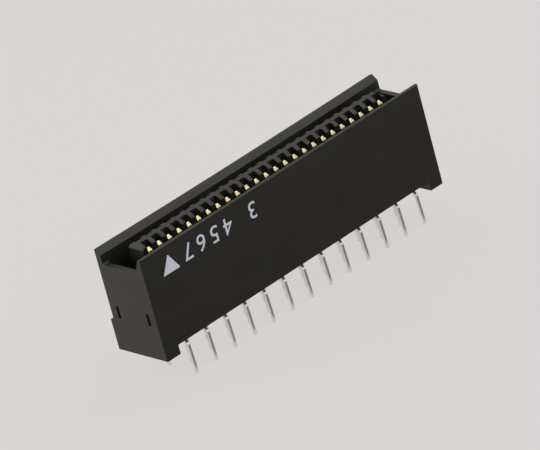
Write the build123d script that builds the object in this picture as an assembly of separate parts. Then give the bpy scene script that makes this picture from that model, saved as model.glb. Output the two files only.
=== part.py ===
from build123d import *
import os
from math import asin, cos, degrees, radians, sin, tan

# Shrouded board-to-board header: one black moulded housing that holds fifty stamped contacts.
# Millimetres, +Z up. X runs along the rows, and the marked long wall faces -Y. The origin is
# where the feet meet the board, at the centre of the contact field.

# Contact field
contacts_per_row = 25
pitch = 1.27
tail_row_step = 1.905

# Housing, upper body
front_depth = 3.28
rear_depth = 3.29
end_margin = 3.15
housing_height = 10.59
front_wall = 0.98
rear_wall = 0.80
rear_wall_bow = 0.20
end_wall = 0.60
lead_in_width = 0.58
front_lead_in_depth = 1.20
rear_lead_in_depth = 0.50
cavity_depth = 6.05
corner_radius = 0.18
cavity_corner_radius = 0.30

# Housing, end walls: both stop short of the long walls
end_wall_drop = 1.48
end_notch_radius = 0.25

# Housing, lower body
rear_step = 0.43
rear_step_height = 3.13
foot_length = 1.66
foot_height = 0.95
trough_height = 1.45
trough_half_width = 2.35
trough_slope = 1.05
trough_end_gap = 0.95

# Slim pockets in both end faces
pocket_width = 0.36
pocket_height = 1.35
pocket_depth = 0.45
pocket_level = 4.20
pocket_from_center = 2.11

# Tongue in the middle of the cavity
tongue_end_margin = 0.84
tongue_drop = 0.03
tongue_end_slope_width = 0.46
tongue_end_slope_drop = 0.50
slot_width = 0.80
slot_depth = 0.74
rib_slope_width = 0.50
rib_slope_drop = 0.33

# Contacts
contact_thickness = 0.25
blade_width = 0.50
blade_proud = 0.05
blade_drop = 0.62
nose_length = 0.42
nose_angle = 38
nose_bevel = 0.08
barb_width = 0.60
barb_length = 0.55
barb_above_trough = 0.75
passage_clearance = 0.03
tail_width = 0.26
shoulder_length = 0.14
tail_length = 2.86
tail_point_length = 0.22
tail_point_width = 0.14
tail_flare = 4.0
board_thickness = 1.60
bend_radius = 0.30
outer_bend_above_board = 0.15

# Sizes that follow from the ones above
field_length = (contacts_per_row - 1) * pitch
housing_length = field_length + 2 * end_margin
cavity_floor = housing_height - cavity_depth
cavity_front = front_wall - front_depth
cavity_rear = rear_depth - rear_wall
cavity_center = (cavity_front + cavity_rear) / 2
trough_roof = foot_height + trough_height
tongue_top = housing_height - tongue_drop
nose_top = tongue_top - blade_drop
inner_row = tail_row_step / 2
outer_row = inner_row + tail_row_step
blade_plane = inner_row
tongue_half = blade_plane + contact_thickness / 2 - blade_proud


def contact_x(index):
    """Place of a contact along its row, counted from the marked end."""
    return (index - (contacts_per_row - 1) / 2) * pitch


def extrude_along_x(profile, length):
    """Solid of a YZ profile, centred on X = 0."""
    return extrude(Plane.YZ * profile, length / 2, both=True)


def rear_line(length, across):
    """Arc along the rear wall, which is drawn in at the middle of the housing."""
    radius = ((housing_length / 2) ** 2 + rear_wall_bow**2) / (2 * rear_wall_bow)
    half_angle = degrees(asin(length / 2 / radius))
    center = (0, across - rear_wall_bow + radius)
    return CenterArc(center, radius, 270 - half_angle, 2 * half_angle)


def plan(length, front, rear, radius):
    """Outline seen from above: straight front and ends, drawn-in rear side, round corners."""
    rear_side = rear_line(length, rear)
    corners = (rear_side @ 0, (-length / 2, front), (length / 2, front), rear_side @ 1)
    outline = make_face([*rear_side.edges(), *Polyline(*corners).edges()])
    return fillet(outline.vertices(), radius)


def body():
    """Outer body: the stepped lower part, and the upper part with its long thin rear wall."""
    total_depth = front_depth + rear_depth + rear_step
    lower_face = RectangleRounded(housing_length, total_depth, corner_radius)
    lower = extrude(Pos(0, total_depth / 2 - front_depth) * lower_face, rear_step_height)
    upper_face = plan(housing_length, -front_depth, rear_depth, corner_radius)
    return lower + extrude(upper_face, housing_height)


def lead_in(side, top_edge, depth):
    """Slope along the inside of one long wall that guides the mating half in."""
    slope = Polygon(
        (0, -depth),
        (side * 2 * lead_in_width, depth),
        (-side * lead_in_width, depth),
        (-side * lead_in_width, -depth),
        align=None,
    )
    path = Pos(0, 0, housing_height) * top_edge
    across = (path % 0).cross(Vector(0, 0, -1))
    return sweep(Plane(path @ 0, x_dir=across, z_dir=path % 0) * slope, path)


def cavity():
    """Space between the walls, open at the top, with a lead-in along both long walls."""
    length = housing_length - 2 * end_wall
    outline = plan(length, cavity_front, cavity_rear, cavity_corner_radius)
    space = extrude(Plane((0, 0, cavity_floor)) * outline, cavity_depth)
    run = housing_length + 2 * end_wall
    front_line = Line((-run / 2, cavity_front), (run / 2, cavity_front))
    front_slope = lead_in(-1, front_line, front_lead_in_depth)
    rear_slope = lead_in(1, rear_line(run, cavity_rear), rear_lead_in_depth)
    return space + [front_slope, rear_slope]


def end_notch(side):
    """Cut that lowers one end wall between the long walls, with rounded roots."""
    run = end_wall + cavity_corner_radius
    width = cavity_rear - cavity_front
    opening = Rectangle(width, 2 * end_wall_drop)
    lower_corners = opening.vertices().sort_by(Axis.Y)[:2]
    place = Plane.YZ.offset(side * (housing_length - run) / 2) * Pos(cavity_center, housing_height)
    return extrude(place * fillet(lower_corners, end_notch_radius), run / 2, both=True)


def underside():
    """Space under the body: the gap between the feet, and the trough that the tails fan out in."""
    total_depth = front_depth + rear_depth + rear_step
    gap = Box(housing_length - 2 * foot_length, 2 * total_depth, 2 * foot_height)
    roof_half_width = trough_half_width - trough_slope
    trough = Polygon(
        (-trough_half_width, foot_height),
        (-trough_half_width, trough_roof - trough_slope),
        (-roof_half_width, trough_roof),
        (roof_half_width, trough_roof),
        (trough_half_width, trough_roof - trough_slope),
        (trough_half_width, foot_height),
        align=None,
    )
    return gap + extrude_along_x(trough, field_length + 2 * trough_end_gap)


def end_pocket(side, across):
    """Slim blind pocket with round ends in one end face."""
    plane = Plane((side * housing_length / 2, across, pocket_level), x_dir=(0, 0, 1), z_dir=(side, 0, 0))
    return extrude(plane * SlotOverall(pocket_height, pocket_width), -pocket_depth)


def ridge(half_length, slope_width, slope_drop):
    """Side view of the tongue: upright, with a slope at both upper corners."""
    return Polygon(
        (-half_length, cavity_floor),
        (half_length, cavity_floor),
        (half_length, tongue_top - slope_drop),
        (half_length - slope_width, tongue_top),
        (-half_length + slope_width, tongue_top),
        (-half_length, tongue_top - slope_drop),
        align=None,
    )


def tongue():
    """Bar that stands in the cavity and carries the contact blades in slots on both faces."""
    length = field_length + 2 * tongue_end_margin
    bar = extrude_along_x(ridge(tongue_half, rib_slope_width, rib_slope_drop), length)
    long_view = Plane.XZ * ridge(length / 2, tongue_end_slope_width, tongue_end_slope_drop)
    return bar & extrude(long_view, tongue_half, both=True)


def at_each_contact(shape, across, level):
    """Copies of a shape at every contact of both rows."""
    return [
        Pos(contact_x(index), side * across, level) * shape
        for index in range(contacts_per_row)
        for side in (-1, 1)
    ]


def blade_slots():
    """Slots for the blades, open at the tongue's faces and top."""
    height = tongue_top - cavity_floor
    return at_each_contact(Box(slot_width, 2 * slot_depth, height), tongue_half, cavity_floor + height / 2)


def passages():
    """Holes through the floor that the contacts are pressed into, with a named clearance."""
    height = cavity_floor - trough_roof
    width = barb_width + 2 * passage_clearance
    thickness = contact_thickness + 2 * passage_clearance
    return at_each_contact(Box(width, thickness, 2 * height), blade_plane, cavity_floor - height / 2)


def housing():
    """The one-piece moulding."""
    solid = body() - [cavity(), end_notch(-1), end_notch(1), underside()]
    for side in (-1, 1):
        solid -= [end_pocket(side, across) for across in (-pocket_from_center, pocket_from_center)]
    solid += tongue()
    solid -= blade_slots()
    solid -= passages()
    return solid


def offset_corners(points, distance):
    """Corners of a line that runs beside a path, at a distance to its left."""
    normals = []
    for start, end in zip(points, points[1:]):
        along = (Vector(*end) - Vector(*start)).normalized()
        normals.append(Vector(-along.Y, along.X))
    corners = [Vector(*points[0]) + normals[0] * distance]
    for point, before, after in zip(points[1:], normals, normals[1:]):
        bisector = (before + after).normalized()
        corners.append(Vector(*point) + bisector * (distance / bisector.dot(before)))
    corners.append(Vector(*points[-1]) + normals[-1] * distance)
    return corners


def strip_profile(points):
    """Side view of a formed strip: both faces run beside its middle line, round shared bends."""
    half = contact_thickness / 2
    turns = []
    for before, point, after in zip(points, points[1:], points[2:]):
        first = Vector(*point) - Vector(*before)
        second = Vector(*after) - Vector(*point)
        turns.append(1 if first.cross(second).Z > 0 else -1)
    left_radii = [bend_radius - turn * half for turn in turns]
    right_radii = [bend_radius + turn * half for turn in turns]
    corners = offset_corners(points, half) + offset_corners(points, -half)[::-1]
    radii = [0, *left_radii, 0, 0, *right_radii[::-1], 0]
    return make_face(FilletPolyline(*corners, radius=radii, close=True))


def contact_path(outer):
    """Middle line of a contact in side view, as (across, up), from its nose to its tail.

    An inner contact is straight. An outer one bends out to its row, and its tail flares so that
    it crosses the row at the underside of the board.
    """
    nose_base = nose_top - nose_length * cos(radians(nose_angle))
    nose_in = nose_length * sin(radians(nose_angle))
    points = [(blade_plane - nose_in, nose_top), (blade_plane, nose_base)]
    if outer:
        spread = tan(radians(tail_flare))
        knee = outer_row - (outer_bend_above_board + board_thickness) * spread
        tip = outer_row + (tail_length - board_thickness) * spread
        points.append((blade_plane, outer_bend_above_board + knee - blade_plane))
        points.append((knee, outer_bend_above_board))
        points.append((tip, -tail_length))
    else:
        points.append((inner_row, -tail_length))
    return points


def blank_outline():
    """Front view of a contact: nose, blade, barbs in the floor, shoulders, tail and its point."""
    barb = trough_roof + barb_above_trough
    half_view = [
        (0, nose_top + contact_thickness),
        (blade_width / 2 - nose_bevel, nose_top + contact_thickness),
        (blade_width / 2 - nose_bevel, nose_top),
        (blade_width / 2, nose_top - nose_bevel * 2),
        (blade_width / 2, barb + barb_length),
        (barb_width / 2, barb),
        (blade_width / 2, barb),
        (blade_width / 2, trough_roof),
        (tail_width / 2, trough_roof - shoulder_length),
        (tail_width / 2, -tail_length + tail_point_length),
        (tail_point_width / 2, -tail_length),
        (tail_point_width / 2, -tail_length - contact_thickness),
        (0, -tail_length - contact_thickness),
    ]
    other_half = [(-x, z) for x, z in half_view[1:-1]][::-1]
    return Polygon(*half_view, *other_half, align=None)


def contact(outer):
    """One stamped and formed contact for the +Y row, at X = 0."""
    strip = extrude_along_x(strip_profile(contact_path(outer)), barb_width)
    reach = 2 * (outer_row + tail_length)
    blank = extrude(Plane.XZ * blank_outline(), reach, both=True)
    return strip & blank


os.makedirs("parts", exist_ok=True)
export_step(housing(), "parts/housing.step")

outer_contact = contact(outer=True)
inner_contact = contact(outer=False)
for index in range(contacts_per_row):
    fans_out_in_front = index % 2 == 0
    front = outer_contact if fans_out_in_front else inner_contact
    rear = inner_contact if fans_out_in_front else outer_contact
    place = Pos(contact_x(index), 0, 0)
    export_step(place * front.mirror(Plane.XZ), f"parts/contact_front_{index + 1:02d}.step")
    export_step(place * rear, f"parts/contact_rear_{index + 1:02d}.step")
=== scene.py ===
# %% [markdown]
# A shrouded pin header, dressed for a product picture.
# The real thing is one black moulding that holds fifty stamped contacts, and its true shape comes
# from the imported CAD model. This script adds what a mould, a plating bath and an ink pad would
# add: surface grain, gold and tin, and the white print. Everything is in metres.

# %% Load the frame
from math import pi, radians

import bpy
from mathutils import Matrix, Vector


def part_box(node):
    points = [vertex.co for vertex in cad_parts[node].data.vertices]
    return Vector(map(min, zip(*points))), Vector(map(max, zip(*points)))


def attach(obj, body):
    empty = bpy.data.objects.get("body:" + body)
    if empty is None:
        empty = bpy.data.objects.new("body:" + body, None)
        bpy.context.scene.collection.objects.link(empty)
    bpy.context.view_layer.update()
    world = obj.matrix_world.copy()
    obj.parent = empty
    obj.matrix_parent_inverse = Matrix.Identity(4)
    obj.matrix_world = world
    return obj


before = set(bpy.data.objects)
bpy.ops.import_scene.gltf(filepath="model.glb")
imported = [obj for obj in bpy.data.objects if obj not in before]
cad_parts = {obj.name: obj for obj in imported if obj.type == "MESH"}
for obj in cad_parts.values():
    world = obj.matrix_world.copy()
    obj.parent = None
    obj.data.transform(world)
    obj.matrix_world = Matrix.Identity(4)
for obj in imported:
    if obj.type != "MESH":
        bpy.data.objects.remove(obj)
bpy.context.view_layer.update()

MM = 0.001
print("nodes loaded:", len(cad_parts))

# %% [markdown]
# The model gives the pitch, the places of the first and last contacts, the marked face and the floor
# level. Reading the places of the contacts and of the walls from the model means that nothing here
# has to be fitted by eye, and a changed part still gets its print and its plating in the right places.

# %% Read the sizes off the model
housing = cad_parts["housing"]
contacts = [node for name, node in sorted(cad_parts.items()) if name != "housing"]
housing_low, housing_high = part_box("housing")
first_low, first_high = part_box("contact_front_01")
last_low, last_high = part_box("contact_front_25")
row_start = (first_low.x + first_high.x) / 2
row_end = (last_low.x + last_high.x) / 2
gaps_in_row = sum(name.startswith("contact_front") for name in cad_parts) - 1
pitch = (row_end - row_start) / gaps_in_row
marked_face = housing_low.y
floor_level = first_low.z
print(f"pitch {pitch / MM:.3f} mm")
print(f"marked face at {marked_face / MM:.2f} mm, floor at {floor_level / MM:.2f} mm")

# %% [markdown]
# The picture was taken from well above the board, a little to the left of the marked wall, with a
# long lens and the camera rolled by about fifteen degrees. Three angles, an aim and a distance say
# that more plainly than a matrix, so the camera is built from them.

# %% Place the camera
camera_azimuth = radians(-37.105)
camera_elevation = radians(24.738)
camera_roll = radians(15.195)
camera_distance = 631.72 * MM
camera_aim = Vector((-0.374, 0.036, 4.492)) * MM
# The lens and the sensor are the two sizes that Blender itself counts in millimetres.
sensor_width = 36
focal_length = 449.66
nearest_seen = 10 * MM
farthest_seen = 10

camera = bpy.data.objects.new("camera", bpy.data.cameras.new("camera"))
bpy.context.scene.collection.objects.link(camera)
bpy.context.scene.camera = camera
camera.data.sensor_fit = "HORIZONTAL"
camera.data.sensor_width = sensor_width
camera.data.lens = focal_length
camera.data.clip_start = nearest_seen
camera.data.clip_end = farthest_seen
turn = (
    Matrix.Rotation(camera_azimuth, 4, "Z")
    @ Matrix.Rotation(radians(90) - camera_elevation, 4, "X")
    @ Matrix.Rotation(-camera_roll, 4, "Z")
)
camera.matrix_world = Matrix.Translation(camera_aim) @ turn @ Matrix.Translation((0, 0, camera_distance))
print("camera at", [round(v / MM) for v in camera.matrix_world.translation], "mm")

# %% [markdown]
# Every finish below is a small node tree. Five helpers keep those trees readable: one starts a
# material and returns its shader, one makes a noise on the object's own coordinates, one carries a
# value from one range to another, one mixes two colours, and one gives a surface its relief.


# %% Helpers for node trees
bevel_samples = 6
# Noise rarely leaves this span, so a look that follows it is stretched over this much of it.
noise_low = 0.3
noise_high = 0.7


def new_material(name):
    """A material with its shader, ready for links."""
    material = bpy.data.materials.new(name)
    material.use_nodes = True
    return material, material.node_tree, material.node_tree.nodes["Principled BSDF"]


def object_noise(tree, grain, detail=2.0, stretch=(1, 1, 1)):
    """Noise whose largest lumps measure about one grain, in metres, on Object coordinates."""
    where = tree.nodes.new("ShaderNodeTexCoord")
    mapping = tree.nodes.new("ShaderNodeMapping")
    mapping.inputs["Scale"].default_value = stretch
    noise = tree.nodes.new("ShaderNodeTexNoise")
    noise.inputs["Scale"].default_value = 1 / grain
    noise.inputs["Detail"].default_value = detail
    tree.links.new(where.outputs["Object"], mapping.inputs["Vector"])
    tree.links.new(mapping.outputs["Vector"], noise.inputs["Vector"])
    return noise.outputs["Fac"]


def map_range(tree, value, from_low, from_high, to_low, to_high):
    """The value, carried from one range to another and held inside it."""
    node = tree.nodes.new("ShaderNodeMapRange")
    node.inputs["From Min"].default_value = from_low
    node.inputs["From Max"].default_value = from_high
    node.inputs["To Min"].default_value = to_low
    node.inputs["To Max"].default_value = to_high
    tree.links.new(value, node.inputs["Value"])
    return node.outputs["Result"]


def mix_colors(tree, factor, first, second):
    """A colour between two others, which may be colours or sockets."""
    node = tree.nodes.new("ShaderNodeMix")
    node.data_type = "RGBA"
    # The colour sockets share their names with those for numbers, so they are taken by place.
    tree.links.new(factor, node.inputs["Factor"])
    for socket, color in ((node.inputs[6], first), (node.inputs[7], second)):
        if isinstance(color, bpy.types.NodeSocket):
            tree.links.new(color, socket)
        else:
            socket.default_value = (*color, 1)
    return node.outputs[2]


def add_relief(tree, shader, height, depth, strength, edge_radius=0):
    """Bump on a shader, from a height between 0 and 1, and edges that catch light as if rounded."""
    bump = tree.nodes.new("ShaderNodeBump")
    bump.inputs["Distance"].default_value = depth
    bump.inputs["Strength"].default_value = strength
    tree.links.new(height, bump.inputs["Height"])
    if edge_radius:
        rounding = tree.nodes.new("ShaderNodeBevel")
        rounding.samples = bevel_samples
        if isinstance(edge_radius, bpy.types.NodeSocket):
            tree.links.new(edge_radius, rounding.inputs["Radius"])
        else:
            rounding.inputs["Radius"].default_value = edge_radius
        tree.links.new(rounding.outputs["Normal"], bump.inputs["Normal"])
    tree.links.new(bump.outputs["Normal"], shader.inputs["Normal"])


# %% [markdown]
# The housing is a glass-filled plastic, close to black. What the eye takes for grey on it is the
# pale room in its satin skin. So the colour itself stays almost black, the roughness carries the
# look, and two noises break it up: a fine grain left by the sparked mould, and slow clouds where
# the melt flowed. A Bevel node rounds the light on the sharp edges by a few hundredths of a
# millimetre, as a mould does, without touching the mesh.

# %% Moulded plastic
plastic_grain = 0.09 * MM
plastic_cloud = 3.2 * MM
cloud_stretch = (0.5, 1, 1)
plastic_edge_radius = 0.045 * MM
plastic_relief = 0.012 * MM
plastic_relief_strength = 0.35
smooth_plastic = 0.42
rough_plastic = 0.52
dark_skin = (0.0155, 0.0155, 0.0118)
pale_skin = (0.0215, 0.0212, 0.0165)

plastic, tree, shader = new_material("moulded_black_plastic")
grain = object_noise(tree, plastic_grain, detail=3)
cloud = object_noise(tree, plastic_cloud, detail=2, stretch=cloud_stretch)
tree.links.new(mix_colors(tree, cloud, dark_skin, pale_skin), shader.inputs["Base Color"])
roughness = map_range(tree, cloud, noise_low, noise_high, smooth_plastic, rough_plastic)
tree.links.new(roughness, shader.inputs["Roughness"])
shader.inputs["IOR"].default_value = 1.5
shader.inputs["Specular IOR Level"].default_value = 0.4
add_relief(tree, shader, grain, plastic_relief, plastic_relief_strength, plastic_edge_radius)
housing.data.materials.clear()
housing.data.materials.append(plastic)
print("housing dressed in", plastic.name)

# %% [markdown]
# Each contact is a strip of copper alloy with two platings: gold where the mating half rubs, and
# tin where the solder goes, over one nickel layer. Plating lines run level round a whole reel of
# contacts, so the height above the board alone decides the metal, with a soft edge between them.
# A faint brushing along the strip stands for the rolling of the sheet. The noses are coined, so
# the light on their edges is rounder than on the tails, which are only sheared.

# %% Gold and tin plating
gold_from = 4.6 * MM
gold_full = 5.2 * MM
tail_edge_radius = 0.06 * MM
nose_edge_radius = 0.15 * MM
rolling_grain = 0.12 * MM
rolling_stretch = (1, 1, 0.12)
rolling_relief = 0.004 * MM
rolling_strength = 0.25
tin_roughness = 0.28
gold_roughness = 0.24
tin_color = (0.85, 0.84, 0.81)
gold_color = (0.92, 0.82, 0.42)

plating, tree, shader = new_material("gold_and_tin_plating")
where = tree.nodes.new("ShaderNodeTexCoord")
axes = tree.nodes.new("ShaderNodeSeparateXYZ")
tree.links.new(where.outputs["Object"], axes.inputs["Vector"])
gold_share = map_range(tree, axes.outputs["Z"], gold_from, gold_full, 0, 1)
rolling = object_noise(tree, rolling_grain, detail=2, stretch=rolling_stretch)
tree.links.new(mix_colors(tree, gold_share, tin_color, gold_color), shader.inputs["Base Color"])
shader.inputs["Metallic"].default_value = 1
roughness = map_range(tree, gold_share, 0, 1, tin_roughness, gold_roughness)
tree.links.new(roughness, shader.inputs["Roughness"])
edge_radius = map_range(tree, gold_share, 0, 1, tail_edge_radius, nose_edge_radius)
add_relief(tree, shader, rolling, rolling_relief, rolling_strength, edge_radius)
for contact in contacts:
    contact.data.materials.clear()
    contact.data.materials.append(plating)
print("contacts dressed:", len(contacts))

# %% [markdown]
# The marks on the long wall are pad-printed in white ink, upside down when the header stands on
# its tails. An image texture would go soft when seen close, so the ink is real geometry: a film
# about a hundredth of a millimetre thick, which starts just inside the wall so that no gap shows
# behind it. First the ink itself, a chalky white with a cool cast.

# %% White ink
ink_film = 0.012 * MM
ink_speckle = 0.16 * MM
thin_ink = (0.65, 0.66, 0.79)
full_ink = (0.82, 0.83, 0.96)
ink_roughness = 0.55
ink_relief = 0.006 * MM
ink_relief_strength = 0.4

ink, tree, shader = new_material("white_ink")
speckle = object_noise(tree, ink_speckle)
tree.links.new(mix_colors(tree, speckle, thin_ink, full_ink), shader.inputs["Base Color"])
shader.inputs["Roughness"].default_value = ink_roughness
add_relief(tree, shader, speckle, ink_relief, ink_relief_strength)
print("ink ready:", ink.name)

# %% [markdown]
# The triangle marks the first contact. It could be a text character or a curve, but three corners
# in a bmesh are simpler. A small bevel blunts the corners, as ink does, and the face is then
# pushed through the film, so that the mark is a closed solid.

# %% The triangle of the first contact
import bmesh

triangle_tip = row_start + 0.06 * MM
triangle_top = 9.66 * MM
triangle_height = 1.80 * MM
triangle_half_base = 1.07 * MM
triangle_blunting = 0.06 * MM
blunting_steps = 3


def print_on_wall(name, mesh):
    """A mark in white ink that rides on the part."""
    piece = bpy.data.objects.new(name, mesh)
    bpy.context.scene.collection.objects.link(piece)
    mesh.materials.clear()
    mesh.materials.append(ink)
    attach(piece, "root")
    return piece


shape = bmesh.new()
corners = [
    (triangle_tip, triangle_top),
    (triangle_tip - triangle_half_base, triangle_top - triangle_height),
    (triangle_tip + triangle_half_base, triangle_top - triangle_height),
]
shape.faces.new([shape.verts.new((x, marked_face - ink_film, z)) for x, z in corners])
corner_points = shape.verts[:]
bmesh.ops.bevel(
    shape, geom=corner_points, offset=triangle_blunting, segments=blunting_steps, affect="VERTICES"
)
pushed = bmesh.ops.extrude_face_region(shape, geom=shape.faces[:])
inner_side = [item for item in pushed["geom"] if isinstance(item, bmesh.types.BMVert)]
bmesh.ops.translate(shape, verts=inner_side, vec=(0, 2 * ink_film, 0))
bmesh.ops.recalc_face_normals(shape, faces=shape.faces)
mesh = bpy.data.meshes.new("first_contact_triangle")
shape.to_mesh(mesh)
shape.free()
triangle = print_on_wall("first_contact_triangle", mesh)
print("triangle faces:", len(triangle.data.polygons))

# %% [markdown]
# Beside the triangle stands a short row of plain counting numbers. Repeated marks are a job for
# Geometry Nodes. This tree takes the height of a digit, its advance and the thickness of the film
# as named inputs: String to Curves sets the digits out along a line, Fill Curve closes their
# outlines, and Extrude Mesh gives the film its body. The open back is a flipped copy of the same
# faces, so the result is closed. The digits can be given another size without redrawing anything.

# %% A node tree that prints numbers
# In Blender's own font these are the sizes of a digit and a space, as shares of the font size.
glyph_height_share = 0.691
glyph_advance_share = 0.500
glyph_space_share = 0.278
weld_distance = 0.0001 * MM


def number_printer():
    """Geometry Nodes tree: flat digits in a row, centred on the origin, as a closed film."""
    tree = bpy.data.node_groups.new("number_printer", "GeometryNodeTree")
    tree.interface.new_socket("Geometry", in_out="OUTPUT", socket_type="NodeSocketGeometry")
    for name, kind in (
        ("Numbers", "NodeSocketString"),
        ("Font size", "NodeSocketFloat"),
        ("Advance factor", "NodeSocketFloat"),
        ("Space factor", "NodeSocketFloat"),
        ("Film", "NodeSocketFloat"),
        ("Ink", "NodeSocketMaterial"),
    ):
        tree.interface.new_socket(name, in_out="INPUT", socket_type=kind)
    sizes = tree.nodes.new("NodeGroupInput").outputs
    row = tree.nodes.new("GeometryNodeStringToCurves")
    row.align_x = "CENTER"
    row.align_y = "MIDDLE"
    single = tree.nodes.new("GeometryNodeRealizeInstances")
    fill = tree.nodes.new("GeometryNodeFillCurve")
    film = tree.nodes.new("GeometryNodeExtrudeMesh")
    film.inputs["Individual"].default_value = False
    back = tree.nodes.new("GeometryNodeFlipFaces")
    whole = tree.nodes.new("GeometryNodeJoinGeometry")
    weld = tree.nodes.new("GeometryNodeMergeByDistance")
    weld.inputs["Distance"].default_value = weld_distance
    last_realize = tree.nodes.new("GeometryNodeRealizeInstances")
    inked = tree.nodes.new("GeometryNodeSetMaterial")
    result = tree.nodes.new("NodeGroupOutput")
    for source, target in (
        (sizes["Numbers"], row.inputs["String"]),
        (sizes["Font size"], row.inputs["Size"]),
        (sizes["Advance factor"], row.inputs["Character Spacing"]),
        (sizes["Space factor"], row.inputs["Word Spacing"]),
        (row.outputs["Curve Instances"], single.inputs[0]),
        (single.outputs[0], fill.inputs["Curve"]),
        (fill.outputs[0], film.inputs["Mesh"]),
        (sizes["Film"], film.inputs["Offset Scale"]),
        (fill.outputs[0], back.inputs["Mesh"]),
        (film.outputs["Mesh"], whole.inputs[0]),
        (back.outputs[0], whole.inputs[0]),
        (whole.outputs[0], weld.inputs["Geometry"]),
        (weld.outputs[0], last_realize.inputs[0]),
        (last_realize.outputs[0], inked.inputs["Geometry"]),
        (sizes["Ink"], inked.inputs["Material"]),
        (inked.outputs[0], result.inputs[0]),
    ):
        tree.links.new(source, target)
    return tree


printer = number_printer()
print("printer inputs:", [item.name for item in printer.interface.items_tree if item.in_out == "INPUT"])

# %% [markdown]
# A modifier reads its inputs by the identifiers of the sockets, so a small function looks these
# up by name. The evaluated result becomes a plain mesh, and only then is it turned upside down
# and stood against the wall.

# %% The printed numbers
printed_text = "3 4567"
digit_height = 1.66 * MM
digit_advance = 1.71 * MM
word_gap = 1.53 * MM
numbers_middle = 9.73 * MM
numbers_level = 8.77 * MM


def evaluate_tree(name, tree, values):
    """Plain mesh that a Geometry Nodes tree makes from named values."""
    holder = bpy.data.objects.new(name, bpy.data.meshes.new(name))
    bpy.context.scene.collection.objects.link(holder)
    modifier = holder.modifiers.new(name, "NODES")
    modifier.node_group = tree
    for item in tree.interface.items_tree:
        if item.in_out == "INPUT":
            modifier[item.identifier] = values[item.name]
    evaluated = holder.evaluated_get(bpy.context.evaluated_depsgraph_get())
    mesh = bpy.data.meshes.new_from_object(evaluated)
    holder.modifiers.remove(modifier)
    bpy.data.objects.remove(holder)
    mesh.name = name
    return mesh


font_size = digit_height / glyph_height_share
advance_factor = digit_advance / (font_size * glyph_advance_share)
stretched_space = word_gap / font_size - glyph_advance_share * (advance_factor - 1)
mesh = evaluate_tree(
    "printed_numbers",
    printer,
    {
        "Numbers": printed_text,
        "Font size": font_size,
        "Advance factor": advance_factor,
        "Space factor": stretched_space / glyph_space_share,
        "Film": 2 * ink_film,
        "Ink": ink,
    },
)
low = Vector([min(v.co[axis] for v in mesh.vertices) for axis in range(3)])
high = Vector([max(v.co[axis] for v in mesh.vertices) for axis in range(3)])
print("numbers measure", [round(size / MM, 2) for size in high - low], "mm")
center_it = Matrix.Translation(-(low + high) / 2)
stand_it_up = Matrix.Rotation(radians(180), 4, "Y") @ Matrix.Rotation(radians(90), 4, "X")
place_it = Matrix.Translation((housing_low.x + numbers_middle, marked_face, numbers_level))
mesh.transform(place_it @ stand_it_up @ center_it)
numbers = print_on_wall("printed_numbers", mesh)
print("numbers faces:", len(mesh.polygons))

# %% [markdown]
# The header stands on the tips of its tails, as it would on a table. The table is pale and plain.
# A lit floor alone would need more light than the part can take, so most of what the camera and
# the shiny metal see of it is its own colour, and the rest is lit, which keeps a faint shadow.

# %% The floor
pale = (0.715, 0.698, 0.688)
floor_size = 3.0
table_roughness = 0.8
own_colour_share = 0.86


def seen_directly(tree):
    """1 for rays from the eye, and for rays off shiny or clear surfaces, otherwise 0."""
    rays = tree.nodes.new("ShaderNodeLightPath")
    seen = rays.outputs["Is Camera Ray"]
    for kind in ("Is Glossy Ray", "Is Transmission Ray"):
        either = tree.nodes.new("ShaderNodeMath")
        either.operation = "MAXIMUM"
        tree.links.new(seen, either.inputs[0])
        tree.links.new(rays.outputs[kind], either.inputs[1])
        seen = either.outputs[0]
    return seen


table, tree, shader = new_material("pale_table")
shader.inputs["Base Color"].default_value = (*pale, 1)
shader.inputs["Roughness"].default_value = table_roughness
own_colour = tree.nodes.new("ShaderNodeEmission")
own_colour.inputs["Color"].default_value = (*pale, 1)
mixed = tree.nodes.new("ShaderNodeMixShader")
share = map_range(tree, seen_directly(tree), 0, 1, 0, own_colour_share)
tree.links.new(share, mixed.inputs["Fac"])
tree.links.new(shader.outputs["BSDF"], mixed.inputs[1])
tree.links.new(own_colour.outputs["Emission"], mixed.inputs[2])
tree.links.new(mixed.outputs["Shader"], tree.nodes["Material Output"].inputs["Surface"])

half = floor_size / 2
floor_mesh = bpy.data.meshes.new("floor")
corners = [(x, y, floor_level) for x, y in ((-half, -half), (half, -half), (half, half), (-half, half))]
floor_mesh.from_pydata(corners, [], [(0, 1, 2, 3)])
floor_mesh.materials.append(table)
floor = bpy.data.objects.new("floor", floor_mesh)
bpy.context.scene.collection.objects.link(floor)
print("floor at", round(floor_level / MM, 2), "mm")

# %% [markdown]
# A black part on a pale table mirrors the table and turns grey. Product photographers lay a dark
# card before such a part, just outside the picture. This card is painted shade instead: a dim glowing
# sheet right before the long wall and the tails, seen only by shiny surfaces, which mirror it as shade
# on the table. It neither shows to the camera nor shades anything.

# %% The painted shade card
card_near = 1.0 * MM
card_depth = 70 * MM
card_overhang = 60 * MM
card_lift = 0.02 * MM
# Painted shade: the card glows this dim grey, and shiny surfaces mirror it as shade on the table.
painted_shade_tone = (0.20, 0.19, 0.18)

card_mesh = bpy.data.meshes.new("painted_shade_card")
left, right = housing_low.x - card_overhang, housing_high.x + card_overhang
near, far = marked_face - card_near, marked_face - card_near - card_depth
corners = [(left, far), (right, far), (right, near), (left, near)]
card_mesh.from_pydata([(x, y, floor_level + card_lift) for x, y in corners], [], [(0, 1, 2, 3)])
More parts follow.
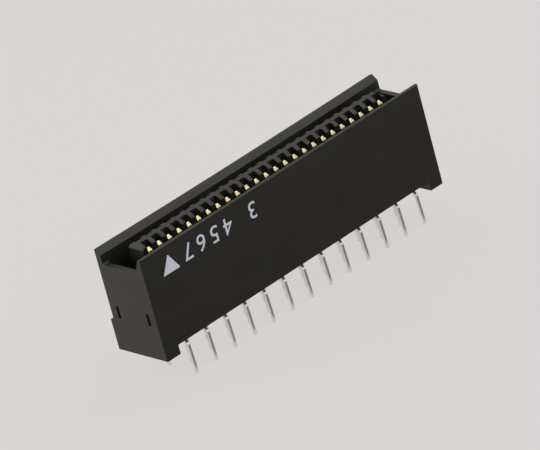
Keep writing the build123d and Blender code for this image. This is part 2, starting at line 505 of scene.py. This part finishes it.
# The card's material is painted shade, a dim emission that only reflections see.
dark, tree, shader = new_material("painted_shade_card")
tone = tree.nodes.new("ShaderNodeEmission")
tone.inputs["Color"].default_value = (*painted_shade_tone, 1)
tree.links.new(tone.outputs["Emission"], tree.nodes["Material Output"].inputs["Surface"])
card_mesh.materials.append(dark)
card = bpy.data.objects.new("painted_shade_card", card_mesh)
bpy.context.scene.collection.objects.link(card)
card.visible_camera = False
card.visible_diffuse = False
card.visible_shadow = False
card.visible_transmission = False
print("card reaches", round(card_depth / MM), "mm in front of the marked wall")

# %% [markdown]
# The room is an even pale sky. Where it is seen directly it comes out at the table's tone, so no
# horizon shows, and for the light that it gives it is dimmer.

# %% The room
room_light = 0.52
room_seen = 0.95

world = bpy.data.worlds.new("studio")
bpy.context.scene.world = world
world.use_nodes = True
tree = world.node_tree
background = tree.nodes["Background"]
strength = map_range(tree, seen_directly(tree), 0, 1, room_light / max(pale), room_seen)
background.inputs["Color"].default_value = (*pale, 1)
tree.links.new(strength, background.inputs["Strength"])
print("room light:", room_light)

# %% [markdown]
# Three soft lamps shape the part. One before it and one above it, both on the right, put the
# highlights on the gold noses, on the slopes of the tongue and on the rims. A low and bright one
# behind on the left lifts the end wall and edges the tails. Radiance, the brightness of the lamp's
# face, is what a shiny surface repeats, so each lamp is given that, and its power follows from its
# size.

# %% The lamps
lamp_distance = 190 * MM
low_lamp_distance = 170 * MM


def softbox(name, direction, distance, size, radiance, color):
    """Square area lamp in a direction from the part, facing it."""
    lamp = bpy.data.lights.new(name, "AREA")
    lamp.shape = "SQUARE"
    lamp.size = size
    lamp.energy = radiance * pi * size**2
    lamp.color = color
    holder = bpy.data.objects.new(name, lamp)
    holder.visible_camera = False
    bpy.context.scene.collection.objects.link(holder)
    place = camera_aim + Vector(direction).normalized() * distance
    facing = (camera_aim - place).to_track_quat("-Z", "Y").to_matrix().to_4x4()
    holder.matrix_world = Matrix.Translation(place) @ facing
    print(f"{name}: {lamp.energy:.3f} W")


softbox(
    "front_right",
    direction=(0.20, -0.80, 0.66),
    distance=lamp_distance,
    size=110 * MM,
    radiance=1.03,
    color=(1.0, 0.98, 0.95),
)
softbox(
    "high_right",
    direction=(0.55, -0.02, 0.83),
    distance=lamp_distance,
    size=120 * MM,
    radiance=1.7,
    color=(1.0, 0.99, 0.96),
)
softbox(
    "left_behind",
    direction=(-0.62, 0.75, 0.22),
    distance=low_lamp_distance,
    size=100 * MM,
    radiance=3.0,
    color=(1.0, 0.97, 0.99),
)
bpy.context.scene.view_settings.view_transform = "Standard"
